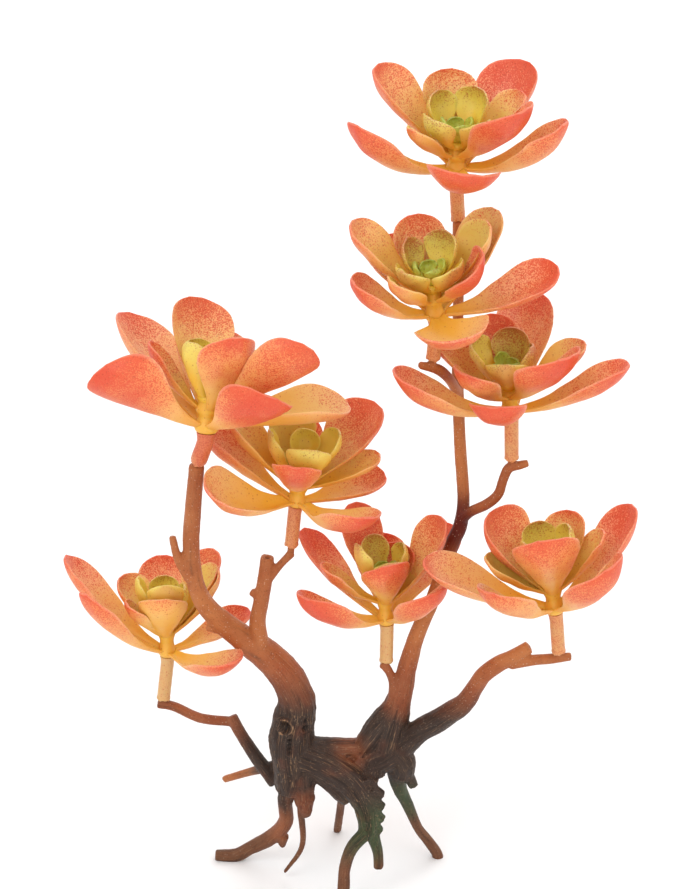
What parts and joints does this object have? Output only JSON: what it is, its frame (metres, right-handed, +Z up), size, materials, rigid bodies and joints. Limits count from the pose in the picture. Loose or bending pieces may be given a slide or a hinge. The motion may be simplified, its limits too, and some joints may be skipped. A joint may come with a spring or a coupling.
{
  "type": "artificial succulent branch",
  "caption": "Moulded artificial succulent: forked woody stems on bare roots, carrying plug-on rosettes of cupped, spoon-shaped leaves in coral, orange and yellow-green.",
  "frame": {"origin": "bottom centre of the object's box, on the plane the root tips stand on", "axes": "+Z up, +X to the right and -Y towards the viewer of the picture"},
  "size_m": [0.2124, 0.0933, 0.324],
  "materials": {
    "branch": "satin moulded plastic, brown with rust and tan shading and fine lengthwise grain",
    "stem": "satin moulded plastic, peach-orange with fine red speckles",
    "outer_leaves": "satin moulded plastic, yellow-orange roots to coral-red tips, speckled",
    "middle_leaves": "satin moulded plastic, yellow-orange to coral, speckled",
    "inner_leaves": "satin moulded plastic, yellow-olive with reddish speckles",
    "core": "satin moulded plastic, yellow-green"
  },
  "bodies": {
    "root": {"branch": "branch", "top_stem": "stem", "top_outer_leaves": "outer_leaves", "top_middle_leaves": "middle_leaves", "top_inner_leaves": "inner_leaves", "top_core": "core", "upper_stem": "stem", "upper_outer_leaves": "outer_leaves", "upper_middle_leaves": "middle_leaves", "upper_inner_leaves": "inner_leaves", "upper_core": "core", "right_stem": "stem", "right_outer_leaves": "outer_leaves", "right_middle_leaves": "middle_leaves", "right_inner_leaves": "inner_leaves", "right_core": "core", "low_right_stem": "stem", "low_right_outer_leaves": "outer_leaves", "low_right_middle_leaves": "middle_leaves", "low_right_inner_leaves": "inner_leaves", "low_right_core": "core", "low_middle_stem": "stem", "low_middle_outer_leaves": "outer_leaves", "low_middle_middle_leaves": "middle_leaves", "low_middle_inner_leaves": "inner_leaves", "low_middle_core": "core", "left_middle_stem": "stem", "left_middle_outer_leaves": "outer_leaves", "left_middle_middle_leaves": "middle_leaves", "left_middle_inner_leaves": "inner_leaves", "left_middle_core": "core", "big_left_stem": "stem", "big_left_outer_leaves": "outer_leaves", "big_left_middle_leaves": "middle_leaves", "big_left_inner_leaves": "inner_leaves", "big_left_core": "core", "low_left_stem": "stem", "low_left_outer_leaves": "outer_leaves", "low_left_middle_leaves": "middle_leaves", "low_left_inner_leaves": "inner_leaves", "low_left_core": "core"}
  },
  "joints": []
}
